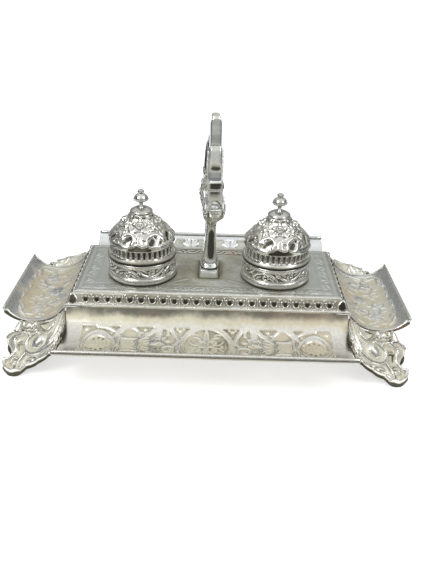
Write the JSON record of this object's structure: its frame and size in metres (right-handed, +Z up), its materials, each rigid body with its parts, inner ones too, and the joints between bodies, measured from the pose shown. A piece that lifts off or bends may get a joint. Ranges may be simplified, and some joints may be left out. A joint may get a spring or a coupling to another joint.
{
  "type": "desk inkstand",
  "caption": "Footed desk inkstand with a raised platform, pen trays on all four sides, two hinged-lid ink wells and a central carrying handle.",
  "frame": {"origin": "middle of the bounding box at the height of the feet's flat pads", "axes": "+X along the long side to the right, +Y to the rear where the lid hinges are, +Z up"},
  "size_m": [0.3078, 0.213, 0.1711],
  "materials": {
    "silver_sheet": "stamped silver plated sheet with warm tarnish in the recesses",
    "silver_cast": "cast silver plate, polished on the high points",
    "tinned_brass": "dull, unpolished",
    "brass": "aged brass",
    "steel": "blackened steel",
    "clear_glass": "pressed clear glass"
  },
  "bodies": {
    "stand": {"platform_top": "silver_sheet", "platform_frame": "tinned_brass", "corner_blocks": "brass", "moulding_front": "silver_sheet", "moulding_rear": "silver_sheet", "moulding_left": "silver_sheet", "moulding_right": "silver_sheet", "corner_leaves": "silver_sheet", "front_tray": "silver_sheet", "rear_tray": "silver_sheet", "left_tray": "silver_sheet", "right_tray": "silver_sheet", "foot_front_left": "silver_cast", "foot_front_right": "silver_cast", "foot_rear_left": "silver_cast", "foot_rear_right": "silver_cast", "foot_screws": "steel", "handle_block": "silver_cast", "handle": "silver_cast", "handle_stud": "steel", "handle_washer": "brass", "handle_nut": "brass", "left_drum": "silver_sheet", "right_drum": "silver_sheet", "drum_screws": "steel", "left_liner": "clear_glass", "right_liner": "clear_glass", "left_hinge_leaf": "silver_cast", "right_hinge_leaf": "silver_cast", "left_hinge_pin": "brass", "right_hinge_pin": "brass"},
    "left_cover": {"left_lid": "silver_sheet", "left_lid_leaf": "silver_cast", "left_collar": "silver_cast", "left_finial": "silver_cast", "left_finial_nut": "brass"},
    "right_cover": {"right_lid": "silver_sheet", "right_lid_leaf": "silver_cast", "right_collar": "silver_cast", "right_finial": "silver_cast", "right_finial_nut": "brass"}
  },
  "joints": [
    {"name": "left_lid_hinge", "type": "hinge", "parent": "stand", "child": "left_cover", "pos_m": [-0.0523, 0.02175, 0.0628], "axis": [-1, 0, 0], "range_deg": [0, 100]},
    {"name": "right_lid_hinge", "type": "hinge", "parent": "stand", "child": "right_cover", "pos_m": [0.0523, 0.02175, 0.0628], "axis": [-1, 0, 0], "range_deg": [0, 100]}
  ]
}
